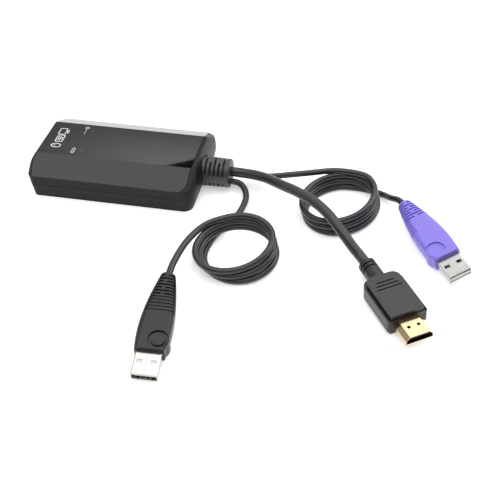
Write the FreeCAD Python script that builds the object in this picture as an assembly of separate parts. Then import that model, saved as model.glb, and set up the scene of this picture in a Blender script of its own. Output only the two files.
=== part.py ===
"""Console adapter: a small network box with a ribbed gland, one thick display
cord and two thin USB cords, each USB cord wound in a coil.

Frame: millimetres, +X along the box towards the cords, +Y across it, +Z up.
The origin is the middle of the box's footprint on the floor.
"""
import math
import os

import FreeCAD, Part
from FreeCAD import Vector as V

os.makedirs("parts", exist_ok=True)

# ---------------------------------------------------------------- box
CASE_LENGTH = 94.9          # between the fullest heights of the two ends
CASE_WIDTH = 59.0           # over the side walls
CASE_HEIGHT = 20.1
TOP_WIDTH = 31.2            # flat top between the two long slopes
JACK_FULL_Z = 16.5          # fullest height of the end with the socket
JACK_TOP_INSET = 1.6        # it leans in by this much at the top
JACK_FOOT_INSET = 2.4       # and by this much at the floor
CABLE_FULL_Z = 9.5          # the same for the end with the cords
CABLE_TOP_INSET = 2.4
CABLE_FOOT_INSET = 2.1
FOOT_SIDE_INSET = 0.9       # side walls lean in this much at the floor
PARTING_HEIGHT = 8.0        # joint between tray and upper case
SLOPE_HEIGHT = 13.6         # where the long slopes begin
WALL = 2.0
FLOOR = 1.8
CORNER_CABLE_END = 7.0
CORNER_JACK_END = 3.0
PARTING_GAP = 0.2           # shadow line round the joint
LIP = 1.0                   # tongue of the upper case inside the tray

# gloss cover, a saddle over the top and both slopes
COVER_THICK = 1.6
COVER_END_INSET = 4.6       # its edge from the cord end
COVER_EDGE_X = CASE_LENGTH / 2 - COVER_END_INSET
COVER_CORNER = 6.0
COVER_GROOVE = 0.35         # shadow gap beside that edge

# indicator windows in the cover
WINDOW_R = 0.8
WINDOW_INSET = 26.1         # from the socket end
WINDOW_X = WINDOW_INSET - CASE_LENGTH / 2
WINDOW_Y = 10.2

# circuit board
BOARD_JACK_ROOM = 2.35      # from the walls
BOARD_CORD_ROOM = 4.75
BOARD_SIDE_ROOM = 2.5
BOARD_THICK = 1.6
BOSS_HEIGHT = 1.8
BOSS_R = 3.2
BOSS_END_INSET = 4.7        # from the board's cord end
BOSS_SIDE_INSET = 4.0       # and from its sides
SCREW_R = 1.1
SCREW_HEAD_R = 2.2
SCREW_SEAT = 1.2            # depth of the hole for its head

# network socket
JACK_WIDTH = 16.0
JACK_HEIGHT = 11.5
JACK_DEPTH = 21.0
JACK_RECESS = 0.5           # its face sits this far inside the end
PORT_WIDTH = 11.9
PORT_HEIGHT = 6.9
PORT_DEPTH = 13.0
LATCH_WIDTH = 6.2
LATCH_HEIGHT = 1.7
SHIELD = 0.3

# gland
GLAND_R = 8.5               # at the box
GLAND_END_R = 8.0
GLAND_LENGTH = 15.9
GLAND_SEAT = 1.7            # it starts this far inside the end
GLAND_Y = -0.8
GLAND_CLEAR = 0.05          # above the floor
GLAND_Z = GLAND_R + GLAND_CLEAR
GLAND_START = CASE_LENGTH / 2 - GLAND_SEAT
GLAND_END = GLAND_START + GLAND_LENGTH
GLAND_NECK_R = 4.8
GLAND_FLANGE_R = 5.9
POCKET_ROOM = 0.4           # gap round the gland where it enters the end wall
PAD_THICK = 1.7             # wall left behind that pocket
SLIT_COUNT = 5
SLIT_FIRST = GLAND_START + 2.9
SLIT_PITCH = 2.46
SLIT_WIDE = 1.15
SLIT_DEEP = 2.8
SLIT_WEB = 2.2              # half height of the web on each side

# cords
THICK_D = 5.5
THIN_D = 3.45
INNER_THICK_D = 5.0         # inside the box, without its outer jacket
ROUTES_FROM = 61.65         # the routes and plug places are written for a gland that ends here

# USB plug, own frame: +X to the tip, origin where the metal leaves the moulding
USB_W = 12.0
USB_H = 4.5
USB_OUT = 12.3              # metal length outside the moulding
USB_IN = 3.0                # and inside it
USB_SHEET = 0.3
MOULD_LENGTH = 45.0
MOULD_THICK = 9.0
LOBE_R = 5.2
LOBE_X = -5.6
LOBE_Y = -3.1
LOBE_DISH = 0.8             # depth of the dish and of the ring groove on the other face
RIB_COUNT = 12
RIB_PITCH = 1.94
RIB_FIRST = 1.5             # from the back of the moulding
RIB_WIDE = 0.85
DEEP_RIBS = 7               # the slits nearest the back are deep
RIB_DEEP = 1.0
RIB_SHALLOW = 0.35

# display plug, own frame as above
HD_W = 13.9
HD_NARROW = 10.0
HD_H = 4.45
HD_OUT = 11.3
HD_SHEET = 0.3
HD_BODY = 29.0
HD_NECK_END = 42.0
HD_BODY_W = 20.4
HD_PLATE_W = 17.4
HD_BODY_H = 11.0
HD_PLATE = 1.9
HD_GROOVE = 0.9             # moat round the raised plate
HD_SHOULDER = 5.2
HD_NECK_R = 4.4

# where the plugs lie: x, y, z, heading, pitch, roll (degrees)
BLACK_PLUG = (54.16, -136.69, 4.85, -86.03, -8.03, 177.85)
VIOLET_PLUG = (182.48, -50.03, 6.8, -57.64, -1.58, 15.47)
DISPLAY_PLUG = (166.15, -95.9, 6.15, -57.5, 0.0, 3.0)

# coils: centre, half axes and turn of the ellipse at the floor and at the top
BLACK_COIL = {"low": (79.85, -61.6, 19.9, 19.5), "high": (75.85, -58.2, 17.3, 21.3), "turn": -42.7,
              "rise": 55.0}
VIOLET_COIL = {"low": (125.65, -12.7, 19.3, 21.5), "high": (121.45, -9.2, 18.65, 20.7), "turn": -32.2,
               "rise": 125.0}
COIL_NEAR = 9.2             # height of the near side of each coil
COIL_FAR = 12.2             # height of the far side, where one more strand lies
COIL_WALL = 4.2             # thickness of a coil's ring
CORD_ROOM = 0.3             # room round a cord that passes its own coil


# ---------------------------------------------------------------- helpers
def box(x0, x1, y0, y1, z0, z1):
    return Part.makeBox(x1 - x0, y1 - y0, z1 - z0, V(x0, y0, z0))


def rod(radius, start, end):
    a, b = V(start[0], start[1], start[2]), V(end[0], end[1], end[2])
    return Part.makeCylinder(radius, (b - a).Length, a, b - a)


def placed(shape, spot):
    """Turn a shape by roll, pitch and heading, then move it to its place."""
    x, y, z, heading, pitch, roll = spot
    turn = (FreeCAD.Rotation(V(0, 0, 1), heading)
            .multiply(FreeCAD.Rotation(V(0, 1, 0), -pitch))
            .multiply(FreeCAD.Rotation(V(1, 0, 0), roll)))
    out = shape.copy()
    out.Placement = FreeCAD.Placement(V(x, y, z), turn).multiply(out.Placement)
    return out


def at(spot, point):
    x, y, z, heading, pitch, roll = spot
    turn = (FreeCAD.Rotation(V(0, 0, 1), heading)
            .multiply(FreeCAD.Rotation(V(0, 1, 0), -pitch))
            .multiply(FreeCAD.Rotation(V(1, 0, 0), roll)))
    p = FreeCAD.Placement(V(x, y, z), turn).multVec(V(*point))
    return (p.x, p.y, p.z)


def save(name, *solids, along=0.0):
    """Write a node; along moves it in x, as what lies beyond the gland moves with it."""
    shapes = []
    for s in solids:
        for part in s.Solids:
            part = part.copy()
            part.translate(V(along, 0, 0))
            shapes.append(part)
    shape = shapes[0] if len(shapes) == 1 else Part.makeCompound(shapes)
    shape.exportStep("parts/%s.step" % name)
    print("%-20s %2d solid(s) %10.1f mm3" % (name, len(shapes), shape.Volume))


def rounded(points, radii):
    """Closed wire through 3-D corner points with an arc at each one."""
    n = len(points)
    pts = [V(*p) for p in points]
    edges, joins = [], []
    for i in range(n):
        p, a, b = pts[i], pts[i - 1], pts[(i + 1) % n]
        u, w = (a - p).normalize(), (b - p).normalize()
        half = math.acos(max(-1.0, min(1.0, u.dot(w)))) / 2
        cut = radii[i] / math.tan(half)
        mid = (u + w).normalize()
        centre = p + mid * (radii[i] / math.sin(half))
        joins.append((p + u * cut, centre - mid * radii[i], p + w * cut))
    for i in range(n):
        s, m, e = joins[i]
        edges.append(Part.Arc(s, m, e).toShape())
        nxt = joins[(i + 1) % n][0]
        if (nxt - e).Length > 1e-5:
            edges.append(Part.LineSegment(e, nxt).toShape())
    return Part.Wire(edges)


def loft(wires, ruled=True):
    return Part.makeLoft(wires, True, ruled)


# ---------------------------------------------------------------- box shape
def jack_end(z):
    """Distance of the socket's end from the middle: leans out up to its fullest
    height along a straight line, then curves back in."""
    if z >= JACK_FULL_Z:
        t = (z - JACK_FULL_Z) / (CASE_HEIGHT - JACK_FULL_Z)
        return CASE_LENGTH / 2 - JACK_TOP_INSET * t * t
    return CASE_LENGTH / 2 - JACK_FOOT_INSET * (1 - z / JACK_FULL_Z)


def cable_end(z):
    """Distance of the cords' end from the middle: a shallow bow."""
    if z >= CABLE_FULL_Z:
        t = (z - CABLE_FULL_Z) / (CASE_HEIGHT - CABLE_FULL_Z)
        return CASE_LENGTH / 2 - CABLE_TOP_INSET * t * t
    return CASE_LENGTH / 2 - CABLE_FOOT_INSET * (1 - z / CABLE_FULL_Z) ** 2


def half_width(z):
    if z <= PARTING_HEIGHT:
        return CASE_WIDTH / 2 - FOOT_SIDE_INSET * (1 - z / PARTING_HEIGHT)
    if z <= SLOPE_HEIGHT:
        return CASE_WIDTH / 2
    t = (z - SLOPE_HEIGHT) / (CASE_HEIGHT - SLOPE_HEIGHT)
    return CASE_WIDTH / 2 + (TOP_WIDTH / 2 - CASE_WIDTH / 2) * t


def section(z, inset=0.0, width=None):
    """Rounded oblong of the box at a height, drawn in by the inset."""
    x0, x1 = inset - jack_end(z), cable_end(z) - inset
    hy = (half_width(z) if width is None else width) - inset
    k = 1.0
    if z > SLOPE_HEIGHT:
        k = 1 - 0.7 * (z - SLOPE_HEIGHT) / (CASE_HEIGHT - SLOPE_HEIGHT)
    elif z < PARTING_HEIGHT:
        k = 0.72 + 0.28 * z / PARTING_HEIGHT
    rc = max(CORNER_CABLE_END * k - inset, 0.6)
    rj = max(CORNER_JACK_END * k - inset, 0.6)
    return rounded([(x1, -hy, z), (x1, hy, z), (x0, hy, z), (x0, -hy, z)], [rc, rc, rj, rj])


def steps(z0, z1, n):
    return [z0 + (z1 - z0) * i / n for i in range(n + 1)]


tray_outer = loft([section(z) for z in steps(0, PARTING_HEIGHT - PARTING_GAP, 4)])
band = loft([section(z) for z in steps(PARTING_HEIGHT, SLOPE_HEIGHT, 4)])
roof = loft([section(z) for z in steps(SLOPE_HEIGHT, CASE_HEIGHT, 8)])

slope = (CASE_HEIGHT - SLOPE_HEIGHT) / (CASE_WIDTH / 2 - TOP_WIDTH / 2)


def roof_prism(drop, reach):
    """Long prism under the roof's top and slopes, lowered by the drop."""
    y_top, y_low = TOP_WIDTH / 2, CASE_WIDTH / 2
    top = CASE_HEIGHT - drop
    low = SLOPE_HEIGHT - drop
    pts = [V(-reach, -y_low, low), V(-reach, -y_low, low - 8), V(-reach, y_low, low - 8),
           V(-reach, y_low, low), V(-reach, y_top, top), V(-reach, -y_top, top)]
    face = Part.Face(Part.makePolygon(pts + pts[:1]))
    return face.extrude(V(2 * reach, 0, 0))


REACH = CASE_LENGTH         # cutting tools run this far, past every side of the box


def plan(x1, y, radius, z0, z1):
    """Prism over the cover's outline: rounded only at the cord end."""
    w = rounded([(x1, -y, z0), (x1, y, z0), (-REACH, y, z0), (-REACH, -y, z0)],
                [radius, radius, 1.0, 1.0])
    return Part.Face(w).extrude(V(0, 0, z1 - z0))


cover_zone = plan(COVER_EDGE_X, CASE_WIDTH / 2 + 0.2, COVER_CORNER, SLOPE_HEIGHT, CASE_HEIGHT + 5)
cover = roof.common(cover_zone).cut(roof_prism(COVER_THICK, 100))

# upper case: band and roof less the cover, a shadow groove and the cavity
groove = plan(COVER_EDGE_X + COVER_GROOVE, CASE_WIDTH / 2 + 0.2, COVER_CORNER, SLOPE_HEIGHT,
              CASE_HEIGHT + 5).cut(cover_zone).cut(roof_prism(0.9, 100))
cavity_top = CASE_HEIGHT - 2 * COVER_THICK
bend = SLOPE_HEIGHT - 2 * COVER_THICK + WALL * slope


def cavity_section(z):
    if z <= bend:
        hy = CASE_WIDTH / 2 - WALL
    else:
        hy = CASE_WIDTH / 2 - WALL - (z - bend) / slope
    return section(z, WALL, hy + WALL)


cavity = loft([cavity_section(z) for z in (PARTING_HEIGHT - 0.1, bend, (bend + cavity_top) / 2,
                                           cavity_top)])
lip = loft([section(z, WALL + 0.12) for z in (PARTING_HEIGHT - LIP, PARTING_HEIGHT)])
lip = lip.fuse(loft([section(z, WALL - 0.6) for z in (PARTING_HEIGHT, PARTING_HEIGHT + 1.2)]))
lip = lip.cut(loft([section(z, WALL + 0.9) for z in (PARTING_HEIGHT - LIP - 0.1,
                                                    PARTING_HEIGHT + 1.3)]))
lip = lip.cut(box(GLAND_START - 15, REACH, GLAND_Y - GLAND_R - 3, GLAND_Y + GLAND_R + 3, 0, 20))
upper = band.fuse(roof).cut(cover_zone.cut(roof_prism(COVER_THICK, 100)))
upper = upper.cut(groove).cut(cavity).fuse(lip)

tray_cavity = loft([section(z, WALL) for z in steps(FLOOR, PARTING_HEIGHT + 0.2, 4)])
tray = tray_outer.cut(tray_cavity)

# the end wall is thicker round the gland, which sits in a shallow pocket
inner_face = GLAND_START - PAD_THICK
pad = rod(GLAND_R + POCKET_ROOM + 1.6, (inner_face, GLAND_Y, GLAND_Z), (REACH, GLAND_Y, GLAND_Z))
upper = upper.fuse(pad.common(band))
upper = upper.fuse(pad.common(roof.common(roof_prism(COVER_THICK + 0.2, 100))).cut(groove))
tray = tray.fuse(pad.common(tray_outer))
pocket = rod(GLAND_R + POCKET_ROOM, (GLAND_START, GLAND_Y, GLAND_Z), (REACH, GLAND_Y, GLAND_Z))
upper = upper.cut(pocket)
tray = tray.cut(pocket)

# ends: hole for the socket, hole for the gland's neck
jack_front = -(jack_end(PARTING_HEIGHT) - JACK_RECESS)
board_z = FLOOR + BOSS_HEIGHT
jack_z0 = board_z + BOARD_THICK
jack_z1 = jack_z0 + JACK_HEIGHT
jack_hole = box(-REACH, jack_front + 6, -JACK_WIDTH / 2 - 0.15, JACK_WIDTH / 2 + 0.15,
                jack_z0 - 0.1, jack_z1 + 0.15)
neck_hole = rod(GLAND_NECK_R + 0.05, (GLAND_START - 15, GLAND_Y, GLAND_Z), (REACH, GLAND_Y, GLAND_Z))
gland_room = rod(GLAND_FLANGE_R + 0.1, (inner_face - 4.5, GLAND_Y, GLAND_Z),
                 (inner_face, GLAND_Y, GLAND_Z))
upper = upper.cut(jack_hole).cut(neck_hole).cut(gland_room)
tray = tray.cut(jack_hole).cut(neck_hole).cut(gland_room)

# the board's outline, its bosses with screw holes, and the screws
board_x0 = WALL + BOARD_JACK_ROOM - CASE_LENGTH / 2
board_x1 = CASE_LENGTH / 2 - WALL - BOARD_CORD_ROOM
board_y = CASE_WIDTH / 2 - WALL - BOARD_SIDE_ROOM
boss_x = board_x1 - BOSS_END_INSET
boss_y = board_y - BOSS_SIDE_INSET
feet = [(sx * boss_x, sy * boss_y) for sx in (-1, 1) for sy in (-1, 1)]
screws = []
for x, y in feet:
    tray = tray.fuse(rod(BOSS_R, (x, y, FLOOR), (x, y, board_z)))
    tray = tray.cut(rod(SCREW_R, (x, y, -1), (x, y, board_z + 1)))
    tray = tray.cut(rod(SCREW_HEAD_R, (x, y, -1), (x, y, SCREW_SEAT)))
    s = rod(SCREW_HEAD_R - 0.05, (x, y, SCREW_SEAT - 1.0), (x, y, SCREW_SEAT))
    s = s.fuse(rod(SCREW_R, (x, y, SCREW_SEAT - 0.1), (x, y, jack_z0)))
    s = s.cut(box(x - 1.3, x + 1.3, y - 0.25, y + 0.25, 0, SCREW_SEAT / 2))
    s = s.cut(box(x - 0.25, x + 0.25, y - 1.3, y + 1.3, 0, SCREW_SEAT / 2))
    screws.append(s)

# indicator windows: clear rods from the board's lamps up through the cover
windows, lamps = [], []
for side in (-1, 1):
    y = side * WINDOW_Y
    hole = rod(WINDOW_R, (WINDOW_X, y, 0), (WINDOW_X, y, 40))
    cover = cover.cut(hole)
    upper = upper.cut(hole)
    lamp_top = jack_z0 + 0.8
    windows.append(rod(WINDOW_R, (WINDOW_X, y, lamp_top), (WINDOW_X, y, CASE_HEIGHT)))
    lamps.append(box(WINDOW_X - 0.8, WINDOW_X + 0.8, y - 0.4, y + 0.4, jack_z0, lamp_top))

save("tray_case", tray)
save("upper_case", upper)
save("gloss_cover", cover)
save("indicator_rods", *windows)
save("board_lamps", *lamps)
save("case_screws", *screws)

# ---------------------------------------------------------------- board and parts
board = box(board_x0, board_x1, -board_y, board_y, board_z, jack_z0)
for x, y in feet:
    board = board.cut(rod(SCREW_R, (x, y, 0), (x, y, jack_z0 + 4)))
save("circuit_board", board)


def on_board(x, y, long, wide, high):
    """Block on the board: x is measured from the board's socket end."""
    x0 = board_x0 + x
    return box(x0, x0 + long, y, y + wide, jack_z0, jack_z0 + high)


def can_on_board(x, y, radius, high):
    return rod(radius, (board_x0 + x, y, jack_z0), (board_x0 + x, y, jack_z0 + high))


save("main_chip", on_board(36.6, -6.5, 17, 17, 1.4))
save("video_chip", on_board(60.6, 7.5, 11, 11, 1.2))
save("memory_chip", on_board(29.1, -18, 8, 11, 1.1))
save("pulse_transformer", on_board(21.6, -5.5, 8.5, 14, 5.2))
save("crystal_can", on_board(57.1, -14.2, 11, 4.4, 3.4))
cans = ((59.1, -19.5), (65.6, -19.5), (31.1, 17))
save("capacitors", *[can_on_board(x, y, 2.4, 5.4) for x, y in cans])
save("small_parts", *[on_board(39.1 + 4 * i, y, 1.6, 0.8, 0.7)
                      for i in range(5) for y in (14.5, 17.5, -9.5, -12.5)])
thick_z = GLAND_Z + 1.65
thin_z = GLAND_Z - 1.65
header_x1 = board_x1 - 3.7
save("cord_header", box(header_x1 - 5, header_x1, -8, 8, jack_z0, thick_z + INNER_THICK_D / 2 + 0.1))

# ---------------------------------------------------------------- network socket
jw, jx1 = JACK_WIDTH / 2, jack_front + JACK_DEPTH
port_z0 = jack_z0 + 3.0
body = box(jack_front, jx1 - 0.5, -jw + SHIELD, jw - SHIELD, jack_z0, jack_z1 - SHIELD)
port = box(jack_front - 1, jack_front + PORT_DEPTH, -PORT_WIDTH / 2, PORT_WIDTH / 2,
           port_z0, port_z0 + PORT_HEIGHT)
latch = box(jack_front - 1, jack_front + PORT_DEPTH, -LATCH_WIDTH / 2, LATCH_WIDTH / 2,
            port_z0 - LATCH_HEIGHT, port_z0 + 0.1)
body = body.cut(port).cut(latch)
pins = []
for i in range(8):
    y = (i - 3.5) * 1.02
    top = port_z0 + PORT_HEIGHT
    pins.append(box(jack_front + 3.0, jack_front + PORT_DEPTH, y - 0.22, y + 0.22, top - 1.1, top - 0.7)
                .fuse(box(jack_front + PORT_DEPTH - 0.4, jack_front + PORT_DEPTH, y - 0.22, y + 0.22,
                          top - 3.5, top - 0.7)))
lamp_boxes = []
for side in (-1, 1):
    y0, y1 = sorted((side * (LATCH_WIDTH / 2 + 1.0), side * (jw - SHIELD - 0.4)))
    lamp = box(jack_front, jack_front + 2.5, y0, y1, jack_z0 + 0.5, port_z0 - 0.7)
    body = body.cut(lamp)
    lamp_boxes.append(lamp)
shield = box(jack_front, jx1, -jw, jw, jack_z0, jack_z1)
shield = shield.cut(box(jack_front - 1, jx1 - SHIELD, -jw + SHIELD, jw - SHIELD, jack_z0 - 1,
                        jack_z1 - SHIELD))
save("socket_body", body)
save("socket_shield", shield)
save("socket_pins", *pins)
save("socket_lamps", *lamp_boxes)

# ---------------------------------------------------------------- gland
gland = Part.makeCone(GLAND_R, GLAND_END_R, GLAND_LENGTH, V(GLAND_START, GLAND_Y, GLAND_Z), V(1, 0, 0))
gland = gland.makeFillet(0.6, [e for e in gland.Edges if e.Curve.TypeId == "Part::GeomCircle"
                               and e.CenterOfMass.x > GLAND_END - 0.1])
for i in range(SLIT_COUNT):
    x = SLIT_FIRST + i * SLIT_PITCH
    ring = rod(GLAND_R + 1, (x - SLIT_WIDE / 2, GLAND_Y, GLAND_Z), (x + SLIT_WIDE / 2, GLAND_Y, GLAND_Z))
    ring = ring.cut(rod(GLAND_R - SLIT_DEEP, (x - 2, GLAND_Y, GLAND_Z), (x + 2, GLAND_Y, GLAND_Z)))
    ring = ring.cut(box(x - 2, x + 2, -20, 20, GLAND_Z - SLIT_WEB, GLAND_Z + SLIT_WEB))
    if i % 2:
        ring = ring.cut(box(x - 2, x + 2, GLAND_Y - SLIT_WEB, GLAND_Y + SLIT_WEB, -20, 40))
    gland = gland.cut(ring)
flange_x0, flange_x1 = inner_face - 2.6, inner_face - 0.3
gland = gland.fuse(rod(GLAND_NECK_R, (flange_x1 - 0.2, GLAND_Y, GLAND_Z),
                       (GLAND_START + 0.1, GLAND_Y, GLAND_Z)))
gland = gland.fuse(rod(GLAND_FLANGE_R, (flange_x0, GLAND_Y, GLAND_Z), (flange_x1, GLAND_Y, GLAND_Z)))
save("gland", gland)

inner_thin = THIN_D / 2 - 0.1
inner = [rod(INNER_THICK_D / 2, (header_x1, GLAND_Y, thick_z), (flange_x0, GLAND_Y, thick_z))]
for y in (GLAND_Y - 3.2, GLAND_Y + 3.2):
    inner.append(rod(inner_thin, (header_x1, y, thin_z), (flange_x0, y, thin_z)))
save("inner_leads", *inner)


# ---------------------------------------------------------------- cords
beyond = GLAND_END - ROUTES_FROM


def path(points):
    """Straight runs joined by tangent arcs; each arc takes 0.45 of its shorter run."""
    pts = [V(*p) for p in points]
    edges, here, radii = [], pts[0], []
    for i in range(1, len(pts) - 1):
        a, p, b = pts[i - 1], pts[i], pts[i + 1]
        u, w = (a - p), (b - p)
        run = min(u.Length, w.Length)
        u.normalize()
        w.normalize()
        turn = math.pi - math.acos(max(-1.0, min(1.0, u.dot(w))))
        cut = 0.45 * run
        radius = cut / math.tan(turn / 2)
        radii.append(radius)
        mid = (u + w).normalize()
        centre = p + mid * (radius / math.cos(turn / 2))
        s, e = p + u * cut, p + w * cut
        edges.append(Part.LineSegment(here, s).toShape())
        edges.append(Part.Arc(s, centre - mid * radius, e).toShape())
        here = e
    edges.append(Part.LineSegment(here, pts[-1]).toShape())
    return Part.Wire(edges), radii


def pipe(diameter, points):
    ring = Part.Wire([Part.makeCircle(diameter / 2, V(*points[0]), V(*points[1]) - V(*points[0]))])
    return path(points)[0].makePipeShell([ring], True, False)


def tube(name, diameter, points):
    wire, radii = path(points)
    solid = pipe(diameter, points)
    expect = math.pi * diameter ** 2 / 4 * wire.Length
    print("%-20s length %.1f  radii %s  volume %.3f of section x length  lowest %.2f" % (
        name, wire.Length, " ".join("%.1f" % r for r in radii), solid.Volume / expect,
        solid.BoundBox.ZMin))
    save(name, solid, along=beyond)


def oval(spec, turn, grow, z):
    """Ellipse lying level, as the same closed curve at every size."""
    x, y, a, b = spec
    ring = Part.makeCircle(1.0)
    m = FreeCAD.Matrix()
    m.scale(V(a + grow, b + grow, 1))
    m.rotateZ(math.radians(turn))
    m.move(V(x, y, z))
    return Part.Wire([ring.transformGeometry(m)])


def coil(name, spec, joins):
    """Outer shape of a wound coil: a leaning ring whose top tilts, with room for
    the cord's ends beside it and a short stub that meets each of them."""
    low, high, turn = spec["low"], spec["high"], spec["turn"]
    top = COIL_FAR + 1.0
    half = COIL_WALL / 2
    outer = loft([oval(low, turn, half, 0.0), oval(high, turn, half, top)])
    inner = loft([oval(low, turn, -half, -0.001), oval(high, turn, -half, top + 0.001)])
    ring = outer.cut(inner)
    reach = high[3] + half
    tilt = math.degrees(math.atan2(COIL_FAR - COIL_NEAR, 2 * reach))
    lid = Part.makeBox(120, 120, 30, V(-60, -60, 0))
    lid.rotate(V(0, 0, 0), V(1, 0, 0), tilt)
    lid.rotate(V(0, 0, 0), V(0, 0, 1), spec["rise"] - 90)
    lid.translate(V(high[0], high[1], (COIL_FAR + COIL_NEAR) / 2))
    ring = ring.cut(lid)
    for points, first, stub in joins:
        ring = ring.cut(pipe(THIN_D + 2 * CORD_ROOM, points))
        end, beside = (points[0], points[1]) if first else (points[-1], points[-2])
        way = (V(*end) - V(*beside)).normalize()
        ring = ring.fuse(rod(THIN_D / 2, end, V(*end) + way * stub))
    save(name, ring, along=beyond)


def back(spot, length, run):
    """Point on a plug's axis, a run behind the back of its moulding."""
    return at(spot, (-length - run, 0, 0))


def low(x, y):
    """Point of a thin cord that lies on the floor."""
    return (x, y, THIN_D / 2 + 0.025)


display_route = [
    (ROUTES_FROM, 0.4, 8.9), (68.4, 0.4, 8.9), (81.0, -4.2, 11.2), (92.1, -15.2, 15.4), (104.8, -23.1, 17.0),
    (117.8, -33.2, 17.0), (128.7, -46.1, 14.0), (135.8, -52.4, 9.0),
    back(DISPLAY_PLUG, HD_NECK_END, 6.3), back(DISPLAY_PLUG, HD_NECK_END, 0)]
black_lead_route = [
    (ROUTES_FROM, -3.6, 5.2), (66.4, -3.6, 5.2), (70.6, -7.6, 4.7), (73.2, -13.5, 3.7),
    (72.9, -20.5, 2.5), low(71.0, -29.6), low(66.5, -39.3)]
black_tail_route = [
    (66.3, -43.2, 10.7), (59.8, -47.5, 10.8), (55.4, -55.5, 11.0), (52.5, -66.5, 11.6),
    (51.6, -77.5, 12.4), back(BLACK_PLUG, MOULD_LENGTH, 5.5), back(BLACK_PLUG, MOULD_LENGTH, 0)]
violet_lead_route = [
    (ROUTES_FROM, 3.6, 5.2), (71.4, 3.6, 5.2), (84.0, 1.3, 7.6), (95.7, 1.9, 10.2), (106.9, 5.2, 10.6)]
violet_tail_route = [
    low(137.4, 6.9), low(146.5, 3.7), (151.0, -3.0, 5.0),
    back(VIOLET_PLUG, MOULD_LENGTH, 5.0), back(VIOLET_PLUG, MOULD_LENGTH, 0)]
tube("display_cord", THICK_D, display_route)
tube("black_lead", THIN_D, black_lead_route)
tube("black_tail", THIN_D, black_tail_route)
tube("violet_lead", THIN_D, violet_lead_route)
tube("violet_tail", THIN_D, violet_tail_route)
coil("black_coil", BLACK_COIL, [(black_lead_route, False, 14.0), (black_tail_route, True, 6.0)])
coil("violet_coil", VIOLET_COIL, [(violet_lead_route, False, 12.0), (violet_tail_route, True, 9.0)])


# ---------------------------------------------------------------- USB plugs
half_metal = USB_W / 2
half_mould = MOULD_THICK / 2
MOULD_SECTIONS = (          # share of the length from the back, half width, half height, corner
    (0.0, 3.7, half_mould - 0.9, 3.4),
    (0.2, half_metal - 0.4, half_mould - 0.4, 3.6),
    (0.45, half_metal + 1.25, half_mould, 3.2),
    (0.7, half_metal + 1.95, half_mould, 2.6),
    (0.88, half_metal + 1.6, half_mould, 2.2),
    (1.0, half_metal + 0.95, half_mould - 0.1, 1.8))


def mould_body(shrink):
    wires = []
    for share, w, h, r in MOULD_SECTIONS:
        x = -MOULD_LENGTH * (1 - share)
        w, h = w - shrink, h - shrink
        wires.append(rounded([(x, -w, -h), (x, w, -h), (x, w, h), (x, -w, h)], [r - shrink] * 4))
    return loft(wires, False)


def usb_plug(prefix, spot):
    body = mould_body(0.0)
    lobe = rod(LOBE_R, (LOBE_X, LOBE_Y, -half_mould), (LOBE_X, LOBE_Y, half_mould))
    lobe = lobe.makeFillet(0.9, [e for e in lobe.Edges if e.Curve.TypeId == "Part::GeomCircle"])
    for depth, first, last in ((RIB_DEEP, 0, DEEP_RIBS), (RIB_SHALLOW, DEEP_RIBS, RIB_COUNT)):
        slits = None
        for i in range(first, last):
            x = -MOULD_LENGTH + RIB_FIRST + i * RIB_PITCH
            slab = box(x, x + RIB_WIDE, -12, 12, -9, 9)
            if first == 0 and i % 2 == 0:
                slab = slab.cut(box(x - 1, x + 2, -0.8, 0.8, -9, 9))
            if first > 0:           # shallow ones: right across below, only one side above
                slab = slab.cut(box(x - 1, x + 2, -4.6, 12, 0, 9))
            slits = slab if slits is None else slits.fuse(slab)
        body = body.cut(slits.cut(mould_body(depth)))
    body = body.fuse(lobe)
    dish_r = LOBE_R - 0.4
    dish = rod(dish_r, (LOBE_X, LOBE_Y, half_mould - LOBE_DISH), (LOBE_X, LOBE_Y, half_mould + 2))
    ring = rod(dish_r, (LOBE_X, LOBE_Y, -half_mould - 2), (LOBE_X, LOBE_Y, LOBE_DISH - half_mould))
    ring = ring.cut(rod(dish_r - 1.4, (LOBE_X, LOBE_Y, -half_mould - 3),
                        (LOBE_X, LOBE_Y, 1 - half_mould)))
    pocket = box(-USB_IN, 1.5, -USB_W / 2, USB_W / 2, -USB_H / 2, USB_H / 2)
    body = body.cut(dish).cut(ring).cut(pocket)
    body = body.cut(box(0.0, LOBE_R, -USB_W / 2, 12, -9, 9))    # nothing stands ahead of the front
    save(prefix + "_mould", placed(body, spot), along=beyond)

    w, h, t = USB_W / 2, USB_H / 2, USB_SHEET
    outer = Part.Face(rounded([(-USB_IN, -w, -h), (-USB_IN, w, -h), (-USB_IN, w, h),
                               (-USB_IN, -w, h)], [0.5] * 4)).extrude(V(USB_IN + USB_OUT, 0, 0))
    shell = outer.cut(box(-USB_IN - 1, USB_OUT + 1, -w + t, w - t, -h + t, h - t))
    for y in (-3.2, 3.2):
        shell = shell.cut(box(4.7, 6.6, y - 1.3, y + 1.3, -5, 5))
    shell = shell.cut(box(1.0, USB_OUT + 1, -0.06, 0.06, -h - 1, -h + t + 0.01))
    save(prefix + "_shell", placed(shell, spot), along=beyond)

    tongue = box(-USB_IN, USB_OUT - 0.5, -w + t, w - t, -h + t, 0.0)
    bars = []
    for y, x1 in ((-3.5, USB_OUT - 1.0), (-1.0, USB_OUT - 2.0), (1.0, USB_OUT - 2.0),
                  (3.5, USB_OUT - 1.0)):
        slot = box(-USB_IN, x1, y - 0.5, y + 0.5, -0.3, 0.0)
        bars.append(slot)
        tongue = tongue.cut(slot)
    save(prefix + "_tongue", placed(tongue, spot), along=beyond)
    save(prefix + "_contacts", *[placed(b, spot) for b in bars], along=beyond)


usb_plug("black", BLACK_PLUG)
usb_plug("violet", VIOLET_PLUG)


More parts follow.
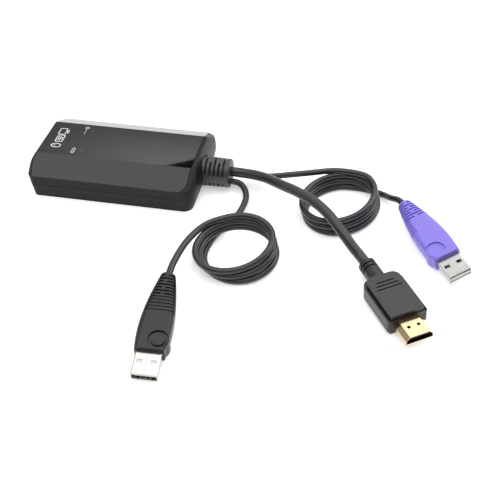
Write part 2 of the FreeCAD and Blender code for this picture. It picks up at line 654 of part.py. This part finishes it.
# ---------------------------------------------------------------- display plug
def hd_outline(half, end, z0, z1, shoulder):
    """Plan of the moulding: straight sides, rounded shoulders behind."""
    back_x = -HD_BODY + end
    pts = [(-end * 0.4, -half, z0), (-end * 0.4, half, z0), (back_x, half, z0), (back_x, -half, z0)]
    w = rounded(pts, [0.8, 0.8, shoulder, shoulder])
    return Part.Face(w).extrude(V(0, 0, z1 - z0))


mid_h = HD_BODY_H / 2 - HD_PLATE
mid = hd_outline(HD_BODY_W / 2, 0.0, -mid_h, mid_h, HD_SHOULDER)
mid = mid.makeFillet(0.4, [e for e in mid.Edges if abs(abs(e.CenterOfMass.z) - mid_h) < 1e-4])
for z0, z1 in ((mid_h - 0.9, mid_h + 1), (-mid_h - 1, 0.9 - mid_h)):
    mid = mid.cut(hd_outline(HD_PLATE_W / 2 + HD_GROOVE, 1.0 - HD_GROOVE, z0, z1, HD_SHOULDER - 0.6))
plates = hd_outline(HD_PLATE_W / 2, 1.0, -HD_BODY_H / 2, HD_BODY_H / 2, HD_SHOULDER - 1.2)
hd = mid.fuse(plates)
hd = hd.fuse(rod(HD_NECK_R, (-HD_NECK_END, 0, 0), (-HD_BODY + 3, 0, 0)))
for x in (-HD_NECK_END + 2.2, -HD_NECK_END + 4.6):
    hd = hd.cut(rod(HD_NECK_R + 1, (x, 0, 0), (x + 0.9, 0, 0)).cut(
        rod(HD_NECK_R - 0.8, (x - 1, 0, 0), (x + 2, 0, 0))))
for x, long in ((-22.9, 9.0), (-20.7, 11.4), (-18.4, 13.4)):
    hd = hd.cut(box(x - 0.35, x + 0.35, -long / 2, long / 2, HD_BODY_H / 2 - 0.6, HD_BODY_H))


def hd_section(inset):
    w, n, h = HD_W / 2 - inset, HD_NARROW / 2 - inset * 0.7, HD_H / 2 - inset
    pts = [(-3.0, -w, -h), (-3.0, w, -h), (-3.0, w, 0.1), (-3.0, n, h), (-3.0, -n, h), (-3.0, -w, 0.1)]
    face = Part.Face(Part.makePolygon([V(*p) for p in pts + pts[:1]]))
    return face.extrude(V(3.0 + HD_OUT, 0, 0))


hd = hd.cut(hd_section(0.0))
save("display_mould", placed(hd, DISPLAY_PLUG), along=beyond)
hd_shell = hd_section(0.0).cut(hd_section(HD_SHEET))
for y in (-2.5, 2.5):
    hd_shell = hd_shell.cut(rod(0.85, (5.4, y, 1), (5.4, y, 5)))
save("display_shell", placed(hd_shell, DISPLAY_PLUG), along=beyond)
core = hd_section(HD_SHEET).cut(box(1.0, 20, -20, 20, -5, 5))
tab = box(0.5, HD_OUT - 1.2, -5.2, 5.2, -0.55, 0.55)
hd_bars = []
for i in range(10):
    y = (i - 4.5) * 1.0
    hd_bars.append(box(1.2, HD_OUT - 1.8, y - 0.2, y + 0.2, 0.35, 0.55))
for i in range(9):
    y = (i - 4.0) * 1.0
    hd_bars.append(box(1.2, HD_OUT - 1.8, y - 0.2, y + 0.2, -0.55, -0.35))
inner = core.fuse(tab)
for b in hd_bars:
    inner = inner.cut(b)
save("display_insert", placed(inner, DISPLAY_PLUG), along=beyond)
save("display_contacts", *[placed(b, DISPLAY_PLUG) for b in hd_bars], along=beyond)
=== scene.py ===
import math

import bpy
import numpy as np
from mathutils import Matrix, Vector


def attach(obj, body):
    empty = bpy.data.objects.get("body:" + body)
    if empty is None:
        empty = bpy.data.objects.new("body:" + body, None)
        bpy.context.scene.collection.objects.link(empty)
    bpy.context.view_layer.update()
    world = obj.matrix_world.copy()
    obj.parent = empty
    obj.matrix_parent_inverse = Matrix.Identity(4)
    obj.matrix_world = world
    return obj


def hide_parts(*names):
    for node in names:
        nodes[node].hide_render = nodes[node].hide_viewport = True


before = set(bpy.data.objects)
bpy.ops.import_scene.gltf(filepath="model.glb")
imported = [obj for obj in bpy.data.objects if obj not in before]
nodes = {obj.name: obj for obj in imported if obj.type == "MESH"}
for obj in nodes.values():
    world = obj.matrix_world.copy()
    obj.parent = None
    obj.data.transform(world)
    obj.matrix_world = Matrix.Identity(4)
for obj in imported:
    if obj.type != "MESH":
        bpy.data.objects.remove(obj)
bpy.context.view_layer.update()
MM = 0.001                  # lengths are in millimetres as far as the studio
COVER_TOP = 20.1            # height of the gloss cover
INK_RAISED = 0.025          # height of the printed signs above it


# ------------------------------------------------------------ colour and nodes
def linear(code):
    """sRGB hex to linear RGBA: c/12.92 below 0.04045, else ((c + 0.055)/1.055)^2.4."""
    c = np.array([int(code[i:i + 2], 16) for i in (1, 3, 5)]) / 255.0
    c = np.where(c <= 0.04045, c / 12.92, ((c + 0.055) / 1.055) ** 2.4)
    return (float(c[0]), float(c[1]), float(c[2]), 1.0)


def add_node(tree, kind, settings=None, inputs=None, links=None):
    """One shader node with its settings, socket values and incoming links."""
    node = tree.nodes.new(kind)
    for key, value in (settings or {}).items():
        setattr(node, key, value)
    for key, value in (inputs or {}).items():
        node.inputs[key].default_value = value
    for key, source in (links or {}).items():
        tree.links.new(source, node.inputs[key])
    return node


def new_material(name, surface):
    """A material with one Principled shader, its fixed sockets set from the table."""
    material = bpy.data.materials.new(name)
    material.use_nodes = True
    tree = material.node_tree
    tree.nodes.clear()
    shader = add_node(tree, "ShaderNodeBsdfPrincipled", inputs=surface)
    add_node(tree, "ShaderNodeOutputMaterial", links={"Surface": shader.outputs["BSDF"]})
    place = add_node(tree, "ShaderNodeTexCoord").outputs["Object"]
    return material, tree, shader, place


# nearly all of a noise pattern's values lie between these two
NOISE_LOW, NOISE_HIGH = 0.3, 0.7
CLOUDS = 90.0               # pattern scale per metre: patches of tone about 11 mm wide
DULL_PATCHES = 260.0        # pattern scale per metre: patches about 4 mm wide


def add_mesh(name, points, faces, material):
    """A piece from points in metres and faces that list them, with one material."""
    mesh = bpy.data.meshes.new(name)
    mesh.from_pydata(points.tolist(), [], faces.tolist())
    mesh.materials.append(material)
    piece = bpy.data.objects.new(name, mesh)
    bpy.context.scene.collection.objects.link(piece)
    return piece


def grid_faces(rows, cols):
    """Four-sided faces between points numbered row by row."""
    at = np.arange(rows * cols).reshape(rows, cols)
    return np.stack([at[:-1, :-1], at[:-1, 1:], at[1:, 1:], at[1:, :-1]], -1).reshape(-1, 4)


def moulded(name, colour, rough, grain_mm, depth_mm, tint=0.06, spread=0.06, specular=0.5):
    """A moulded polymer: tool texture of grain_mm as a bump of depth_mm, a gloss that varies
    by spread with the same grain, and a tone that varies by the share tint in clouds."""
    base = linear(colour)
    material, tree, shader, place = new_material(
        name, {"Roughness": rough, "Specular IOR Level": specular, "Base Color": base})
    cloud = add_node(tree, "ShaderNodeTexNoise", inputs={"Scale": CLOUDS, "Detail": 3.0},
                     links={"Vector": place})
    grain = add_node(tree, "ShaderNodeTexNoise",
                     inputs={"Scale": 1.0 / (grain_mm * MM), "Detail": 2.0, "Roughness": 0.6},
                     links={"Vector": place})
    tone = add_node(tree, "ShaderNodeMapRange",
                    inputs={"From Min": NOISE_LOW, "From Max": NOISE_HIGH,
                            "To Min": 1 - tint, "To Max": 1 + tint},
                    links={"Value": cloud.outputs["Fac"]})
    shade = add_node(tree, "ShaderNodeVectorMath", {"operation": "SCALE"}, {0: base[:3]},
                     {"Scale": tone.outputs["Result"]})
    tree.links.new(shade.outputs["Vector"], shader.inputs["Base Color"])
    gloss = add_node(tree, "ShaderNodeMapRange",
                     inputs={"From Min": NOISE_LOW, "From Max": NOISE_HIGH,
                             "To Min": rough - spread, "To Max": rough + spread},
                     links={"Value": grain.outputs["Fac"]})
    tree.links.new(gloss.outputs["Result"], shader.inputs["Roughness"])
    if depth_mm > 0:
        bump = add_node(tree, "ShaderNodeBump",
                        inputs={"Strength": 1.0, "Distance": depth_mm * MM},
                        links={"Height": grain.outputs["Fac"]})
        tree.links.new(bump.outputs["Normal"], shader.inputs["Normal"])
    return material


def plated(name, colour, rough, wear):
    """Plated metal: its roughness grows from rough by up to wear in cloudy patches."""
    material, tree, shader, place = new_material(
        name, {"Metallic": 1.0, "Roughness": rough, "Base Color": linear(colour)})
    cloud = add_node(tree, "ShaderNodeTexNoise", inputs={"Scale": DULL_PATCHES, "Detail": 4.0},
                     links={"Vector": place})
    gloss = add_node(tree, "ShaderNodeMapRange",
                     inputs={"From Min": NOISE_LOW, "From Max": NOISE_HIGH,
                             "To Min": rough, "To Max": rough + wear},
                     links={"Value": cloud.outputs["Fac"]})
    tree.links.new(gloss.outputs["Result"], shader.inputs["Roughness"])
    return material


# ABS from a spark-eroded tool: dark and matte, with a fine grain
case_abs = moulded("moulded_abs_grained", "#151515", 0.42, 0.45, 0.012, specular=0.22)
# ABS polished after moulding: sharp reflections with a trace of orange peel
cover_abs = moulded("polished_abs_cover", "#0c0c0c", 0.03, 6.0, 0.001, spread=0.008, specular=0.45)
# soft PVC drawn through a die: an even blue-black satin with a soft streak of light
cord_pvc = moulded("soft_pvc_jacket", "#1e2024", 0.34, 0.8, 0.006, specular=0.6)
# soft PVC moulded over the cords: a little lighter and duller than the jackets
gland_pvc = moulded("moulded_soft_pvc", "#333438", 0.45, 0.5, 0.01, specular=0.6)
# black PVC from a textured tool: broad soft highlights on the grips
black_pvc = moulded("moulded_black_pvc", "#131313", 0.4, 0.5, 0.008, specular=0.46)
# black PVC from a smoother tool: brighter satin faces
satin_pvc = moulded("satin_black_pvc", "#191918", 0.36, 0.5, 0.006, specular=0.56)
# violet PVC: strong even colour, soft highlights
violet_pvc = moulded("moulded_violet_pvc", "#8577dc", 0.42, 0.5, 0.008, tint=0.03)
# nickel on drawn steel: bright, a little blurred, with duller patches
nickel = plated("nickel_plated_steel", "#bab9b5", 0.16, 0.08)
# thin gold on brass: pale warm mirror
gold = plated("gold_plated_brass", "#dbc299", 0.14, 0.08)
# gold flash on contact springs: deeper yellow, less smooth
gold_pin = plated("gold_flashed_contact", "#d9a94e", 0.2, 0.1)
# hot tin on sheet steel: grey and softly blurred
tin = plated("tinned_steel", "#b9bab8", 0.28, 0.1)
# zinc plate on screws: dull grey metal
zinc = plated("zinc_plated_screw", "#9fa0a0", 0.3, 0.12)
# drawn aluminium: light grey, blurred
can_alu = plated("drawn_aluminium_can", "#c2c3c4", 0.3, 0.1)
# white PBT: opaque and slightly glossy
white_pbt = moulded("moulded_white_pbt", "#d8d8d4", 0.4, 0.6, 0.004, tint=0.03)
# black liquid crystal polymer of sockets: dark satin
black_lcp = moulded("moulded_black_lcp", "#161616", 0.45, 0.5, 0.006)
# green solder mask over glass cloth: glossy, with the weave's faint relief
board_mask = moulded("solder_mask_on_glass_epoxy", "#0f4a2a", 0.35, 1.2, 0.01)
# black epoxy of chip bodies: dull and finely rough
chip_resin = moulded("epoxy_moulding_compound", "#1b1b1c", 0.6, 0.3, 0.01)
# fired ceramic of small capacitors: brown, half matte
ceramic = moulded("fired_ceramic_block", "#8b7355", 0.5, 0.5, 0.004)
# lamp resin filled with scattering powder: milky yellow, smooth
lamp_resin = moulded("milky_lamp_resin", "#d9d3b0", 0.3, 1.0, 0.0, tint=0.02)
# smoked acrylic rod seen on its end: dark and polished
clear_pmma = moulded("smoked_pmma_rod", "#3c3c3b", 0.1, 3.0, 0.0, tint=0.02, spread=0.02)
# pad-printed ink: thin, white and matte
ink = moulded("white_pad_print_ink", "#dcdcda", 0.5, 0.3, 0.002, tint=0.02)

LOOKS = {
    case_abs: ["tray_case", "upper_case"],
    cover_abs: ["gloss_cover"],
    clear_pmma: ["indicator_rods"],
    lamp_resin: ["board_lamps", "socket_lamps"],
    zinc: ["case_screws"],
    board_mask: ["circuit_board"],
    chip_resin: ["main_chip", "video_chip", "memory_chip", "pulse_transformer"],
    tin: ["crystal_can", "socket_shield"],
    can_alu: ["capacitors"],
    ceramic: ["small_parts"],
    white_pbt: ["cord_header", "black_tongue", "violet_tongue"],
    black_lcp: ["socket_body", "display_insert"],
    gold_pin: ["socket_pins", "black_contacts", "violet_contacts", "display_contacts"],
    gland_pvc: ["gland"],
    cord_pvc: ["inner_leads"],
    black_pvc: ["black_mould"],
    satin_pvc: ["display_mould"],
    violet_pvc: ["violet_mould"],
    nickel: ["black_shell", "violet_shell"],
    gold: ["display_shell"],
}
for look, names in LOOKS.items():
    for name in names:
        mesh = nodes[name].data
        mesh.materials.clear()
        mesh.materials.append(look)

# ------------------------------------------------------------ where the plugs lie
# nose of each plug (x, y, z), then its heading, pitch and roll in degrees
BLACK_PLUG = (54.16, -136.69, 4.85, -86.03, -8.03, 177.85)
VIOLET_PLUG = (182.48, -50.03, 6.8, -57.64, -1.58, 15.47)
DISPLAY_PLUG = (166.15, -95.9, 6.15, -57.5, 0.0, 3.0)
USB_MOULD = 45.0            # length of a USB moulding behind its nose
DISPLAY_MOULD = 42.0        # length of the display moulding with its neck


def plug_frame(spot):
    """Place of a plug as a matrix: roll, then pitch, then heading, then its origin."""
    x, y, z, heading, pitch, roll = spot
    turn = (Matrix.Rotation(math.radians(heading), 4, "Z")
            @ Matrix.Rotation(math.radians(-pitch), 4, "Y")
            @ Matrix.Rotation(math.radians(roll), 4, "X"))
    return Matrix.Translation((x, y, z)) @ turn


def back(spot, length, run):
    """Point on a plug's axis, a run behind the back of its moulding."""
    p = plug_frame(spot) @ Vector((-length - run, 0, 0))
    return (p.x, p.y, p.z)


# ------------------------------------------------------------ camera
CAMERA_AT = (157.92, -393.55, 301.69)
CAMERA_AHEAD = (-0.1625, 0.7384, -0.6545)
CAMERA_RIGHT = (0.9795, 0.2007, -0.0168)


def add_camera():
    """The camera's axes are its right, its up and the way back from the object."""
    data = bpy.data.cameras.new("camera")
    data.sensor_width = 36.0
    data.lens = 64.31
    data.clip_start, data.clip_end = 0.01, 20.0
    camera = bpy.data.objects.new("camera", data)
    bpy.context.scene.collection.objects.link(camera)
    ahead = Vector(CAMERA_AHEAD).normalized()
    right = Vector(CAMERA_RIGHT)
    right = (right - ahead * right.dot(ahead)).normalized()
    up = right.cross(ahead)
    axes = Matrix((right, up, -ahead)).transposed().to_4x4()
    camera.matrix_world = Matrix.Translation(Vector(CAMERA_AT) * MM) @ axes
    bpy.context.scene.camera = camera


add_camera()

# ------------------------------------------------------------ cords
THIN_D, THICK_D = 3.45, 5.5
ON_FLOOR = THIN_D / 2 + 0.03    # height of a thin cord's middle where it lies on the floor
TURN_POINTS = 18                # points of the line in one turn of a coil
LIFTS_AT = 270.0                # angle where a coil's first turn leaves the floor

# each coil: angle, centre (x, y) and half axes of its ellipse low down and at the top, the
# ellipse's own turn in degrees, how far its crossing side swells up, and its rise per turn
BLACK_COIL = ((130, 80.0, -60.9, 19.0, 18.2), (1200, 75.5, -60.8, 17.5, 21.8), -39, 1.1, 3.28)
VIOLET_COIL = ((90, 125.6, -13.2, 18.3, 21.6), (1170, 122.8, -12.2, 17.6, 22.5), -30, 0.9, 3.48)


def coil_points(start, stop, low, high, turn, swell, pitch):
    """Points of a coil between two angles: an ellipse whose centre (x, y) and half axes
    (a, b) change evenly with the angle from low to high. The first turn lies on the floor
    as far as LIFTS_AT. From there each turn adds the pitch, and the side at 90 degrees,
    where one more strand lies below, rises by swell times (1 + sine)."""
    count = int(abs(stop - start) / 360.0 * TURN_POINTS)
    angle = np.linspace(start, stop, count + 1)
    t = (angle - low[0]) / (high[0] - low[0])
    x0, y0, a, b = (low[i] + (high[i] - low[i]) * t for i in (1, 2, 3, 4))
    # a line through the points runs inside their polygon by this share
    share = 8.0 / (6.0 + 2.0 * math.cos(math.radians(360.0 / TURN_POINTS)))
    q, r = np.radians(angle - turn), math.radians(turn)
    x = x0 + share * (math.cos(r) * a * np.cos(q) - math.sin(r) * b * np.sin(q))
    y = y0 + share * (math.sin(r) * a * np.cos(q) + math.cos(r) * b * np.sin(q))
    turns = np.maximum(angle - LIFTS_AT, 0.0) / 360.0
    crossing = np.where(angle > LIFTS_AT, 1 + np.sin(np.radians(angle)), 0.0)
    z = ON_FLOOR + pitch * turns + swell * crossing
    return [tuple(p) for p in np.stack([x, y, z], 1)]


def add_cord(name, points, diameter, stands_for):
    """One open smooth line through the route's points, with a round section."""
    curve = bpy.data.curves.new(name, "CURVE")
    curve.dimensions = "3D"
    spline = curve.splines.new("NURBS")
    spline.points.add(len(points) - 1)
    for point, place in zip(spline.points, points):
        point.co = (place[0] * MM, place[1] * MM, place[2] * MM, 1.0)
    spline.order_u = 3
    spline.use_endpoint_u = True
    spline.resolution_u = 8
    curve.bevel_depth = diameter / 2 * MM
    curve.bevel_resolution = 6
    curve.use_fill_caps = True
    piece = bpy.data.objects.new(name, curve)
    bpy.context.scene.collection.objects.link(piece)
    curve.materials.append(cord_pvc)
    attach(piece, "root")
    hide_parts(*stands_for)
    return piece


# the cords' routes: listed points, with the coils' turns between them
display_line = [
    (61.65, 0.4, 8.9), (68.4, 0.4, 8.9), (81.0, -4.2, 11.2), (92.1, -15.2, 15.4), (104.8, -23.1, 17.0),
    (117.8, -33.2, 17.0), (128.7, -46.1, 14.0), (135.8, -52.4, 9.0),
    back(DISPLAY_PLUG, DISPLAY_MOULD, 6.3), back(DISPLAY_PLUG, DISPLAY_MOULD, 0)]
black_line = [
    (61.65, -3.6, 5.2), (66.4, -3.6, 5.2), (70.6, -7.6, 4.7), (73.2, -13.5, 3.7), (72.9, -20.5, 2.5),
    (71.0, -29.6, 1.75), (66.5, -39.3, 1.75), (62.6, -47.5, 1.75)]
black_line += coil_points(170, 1180, *BLACK_COIL)
black_line += [
    (67.3, -44.9, 12.2), (60.6, -49.0, 11.6), (55.9, -56.6, 11.4), (52.8, -66.8, 11.7),
    (51.6, -77.5, 12.4), back(BLACK_PLUG, USB_MOULD, 5.5), back(BLACK_PLUG, USB_MOULD, 0)]
violet_line = [
    (61.65, 3.6, 5.2), (71.4, 3.6, 5.2), (84.0, 1.3, 7.6), (95.7, 1.9, 10.2), (106.9, 5.2, 10.6),
    (115.5, 8.0, 11.0), (124.0, 8.6, 11.4)]
violet_line += coil_points(1135, 96, *VIOLET_COIL)
violet_line += [
    (137.4, 6.9, 1.75), (146.5, 3.7, 1.75), (151.0, -3.0, 5.0), back(VIOLET_PLUG, USB_MOULD, 5.0),
    back(VIOLET_PLUG, USB_MOULD, 0)]

display_cord = add_cord("display_flex", display_line, THICK_D, ["display_cord"])
black_cord = add_cord("black_usb_flex", black_line, THIN_D, ["black_lead", "black_coil", "black_tail"])
violet_cord = add_cord("violet_usb_flex", violet_line, THIN_D,
                       ["violet_lead", "violet_coil", "violet_tail"])


# ------------------------------------------------------------ printed signs
def outline(x, y, half_x, half_y, power, turn=(0, 360)):
    """Points of a rounded box, a superellipse: each half size times the cosine or sine to
    the power 2 / power. Power 2 is an ellipse and 8 nearly a box. A ring that stays open
    has a shorter range of its angle."""
    angle = np.radians(np.linspace(turn[0], turn[1], 41))
    c, s = np.cos(angle), np.sin(angle)
    return np.stack([x + half_x * np.sign(c) * np.abs(c) ** (2 / power),
                     y + half_y * np.sign(s) * np.abs(s) ** (2 / power)], 1)


def ribbon(path, width, height):
    """A flat strip along a path: each point goes half the width to both sides of it, square to
    the mean direction of its neighbours; a path that closes takes them around its join."""
    path = np.asarray(path, float)
    before, after = np.roll(path, 1, 0), np.roll(path, -1, 0)
    if np.allclose(path[0], path[-1]):
        before[0], after[-1] = path[-2], path[1]
    else:
        before[0], after[-1] = path[0], path[-1]
    way = after - before
    way /= np.linalg.norm(way, axis=1)[:, None] + 1e-9
    side = np.stack([-way[:, 1], way[:, 0]], 1) * width / 2
    level = np.full((len(path), 1), height)
    left, right = np.hstack([path + side, level]), np.hstack([path - side, level])
    n = len(path)
    i = np.arange(n - 1)
    return np.vstack([left, right]), np.stack([i + n, i + n + 1, i + 1, i], 1)


def add_signs(name, paths, height):
    """All the strips of the printed signs as one piece, at one height."""
    points, faces, start = [], [], 0
    for path, width in paths:
        p, f = ribbon(path, width, height)
        points.append(p)
        faces.append(f + start)
        start += len(p)
    piece = add_mesh(name, np.vstack(points) * MM, np.vstack(faces), ink)
    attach(piece, "root")


# each sign: the paths of its strokes and their widths
screen = [
    (outline(-38.0, 6.4, 2.0, 2.9, 8), 0.55),
    ([(-35.9, 6.4), (-34.9, 6.4)], 0.8),
    ([(-34.7, 4.6), (-34.7, 8.2)], 0.5),
]
keyboard = [
    (outline(-37.2, -0.6, 2.0, 3.2, 8), 0.55),
    ([(-38.1, -2.7), (-38.1, 1.5)], 0.5),
    ([(-37.1, -2.7), (-37.1, 1.5)], 0.5),
    ([(-36.1, -1.7), (-36.1, 0.5)], 0.5),
]
mouse = [
    (outline(-37.2, -7.6, 2.6, 1.7, 2.6), 0.55),
    ([(-39.0, -7.6), (-37.4, -7.6)], 0.55),
]
switch_ring = [
    (outline(-25.3, 12.2, 1.0, 1.0, 2, (40, 320)), 0.4),
    ([(-25.2, 12.2), (-23.9, 12.2)], 0.4),
]
three_dots = [([(-25.3, y), (-25.3, y + 0.6)], 0.6) for y in (9.4, 7.8, 6.2)]
linked_rings = [(outline(-25.8, y, 0.8, 1.2, 2), 0.4) for y in (-9.7, -11.9)]
add_signs("printed_signs", screen + keyboard + mouse + switch_ring + three_dots + linked_rings,
          COVER_TOP + INK_RAISED)

# ------------------------------------------------------------ studio
# everything in the studio is in metres
BACKDROP_BEND = (1.6, 0.6)      # y where the floor starts to curve up, and its radius
FLOOR_DROP = 0.00005            # the floor lies this far under the object
DIFFUSER_Y = 0.6
DIFFUSER_X = (-1.1, 0.7)
DIFFUSER_Z = (0.12, 1.1)
GLOW_X = (-0.42, -0.14)         # the cloth turns from dark to bright between these
GLOW_Z = (0.4, 0.48)
FLAG_Y = 0.3
CENTRE = (0.08, -0.04, 0.0)     # middle of the object's footprint


def add_light(name, place, aim, size, power):
    """A square soft white light that faces its aim."""
    data = bpy.data.lights.new(name, "AREA")
    data.shape, data.size, data.energy = "SQUARE", size, power
    light = bpy.data.objects.new(name, data)
    bpy.context.scene.collection.objects.link(light)
    light.location = place
    light.rotation_euler = (Vector(aim) - Vector(place)).to_track_quat("-Z", "Y").to_euler()


def add_floor():
    """A flat floor that curves up far behind: height is zero, then a quarter circle."""
    bend, radius = BACKDROP_BEND
    angle = np.linspace(0.1, 1.5, 10)
    run = np.concatenate([np.linspace(-2.5, bend, 12), bend + np.sin(angle) * radius])
    rise = np.concatenate([np.zeros(12), radius - np.cos(angle) * radius])
    x, y = np.meshgrid(np.linspace(-3.0, 3.0, 9), run)
    z = np.broadcast_to(rise[:, None], x.shape)
    # opal acrylic lit from below: an even pale floor with weak shadows
    acrylic = new_material("opal_acrylic_light_table", {
        "Base Color": linear("#f4f4f4"), "Roughness": 0.9, "Specular IOR Level": 0.1,
        "Emission Color": linear("#ffffff"), "Emission Strength": 0.42})[0]
    points = np.stack([x, y, z - FLOOR_DROP], -1).reshape(-1, 3)
    floor = add_mesh("floor", points, grid_faces(*x.shape), acrylic)


def add_diffuser():
    """A tall sheet of lit cloth behind the housing, flat in x and z: it grows brighter from
    left to right and from bottom to top, as a lamp behind its upper right would make it."""
    x, z = np.meshgrid(np.linspace(*DIFFUSER_X, 3), np.linspace(*DIFFUSER_Z, 3))
    # thin white cloth with a lamp behind it: its light falls off evenly to the dark side
    cloth, tree, shader, place = new_material("lit_diffuser_cloth", {
        "Base Color": linear("#bcbcbc"), "Roughness": 0.9, "Specular IOR Level": 0.0,
        "Emission Color": linear("#ffffff")})
    apart = add_node(tree, "ShaderNodeSeparateXYZ", links={"Vector": place})
    right = add_node(tree, "ShaderNodeMapRange", {"interpolation_type": "SMOOTHSTEP"},
                     {"From Min": GLOW_X[0], "From Max": GLOW_X[1], "To Min": 0.1, "To Max": 1.0},
                     {"Value": apart.outputs["X"]})
    high = add_node(tree, "ShaderNodeMapRange", {"interpolation_type": "SMOOTHSTEP"},
                    {"From Min": GLOW_Z[0], "From Max": GLOW_Z[1], "To Min": 0.08, "To Max": 1.4},
                    {"Value": apart.outputs["Z"]})
    glow = add_node(tree, "ShaderNodeMath", {"operation": "MULTIPLY"},
                    links={0: right.outputs["Result"], 1: high.outputs["Result"]})
    tree.links.new(glow.outputs["Value"], shader.inputs["Emission Strength"])
    points = np.stack([x, np.full_like(x, DIFFUSER_Y), z], -1).reshape(-1, 3)
    sheet = add_mesh("diffuser", points, grid_faces(*x.shape), cloth)


def add_flag():
    """A small black card in front of the diffuser. The cover mirrors its lower corner."""
    corners = np.array([(-0.0965, FLAG_Y, 0.2621), (-0.0345, FLAG_Y, 0.2385),
                        (-0.03, FLAG_Y, 0.29), (-0.09, FLAG_Y, 0.29)])
    # black card: dull, takes the light away
    card = new_material("black_card", {
        "Base Color": linear("#050505"), "Roughness": 0.9, "Specular IOR Level": 0.1})[0]
    flag = add_mesh("black_flag", corners, np.array([(0, 1, 2, 3)]), card)


add_floor()
add_diffuser()
add_flag()
add_light("top_softbox", (0.06, -0.16, 1.0), (0.06, -0.16, 0.0), 1.24, 9.6)
add_light("back_softbox", (0.8, 0.55, 0.6), CENTRE, 0.6, 4.0)
add_light("left_softbox", (-0.9, -0.1, 0.7), CENTRE, 0.7, 1.5)
# a white room adds a little even light
world = bpy.data.worlds.new("studio")
world.use_nodes = True
world.node_tree.nodes["Background"].inputs["Color"].default_value = linear("#ffffff")
world.node_tree.nodes["Background"].inputs["Strength"].default_value = 0.3
bpy.context.scene.world = world
bpy.context.scene.view_settings.view_transform = "Standard"
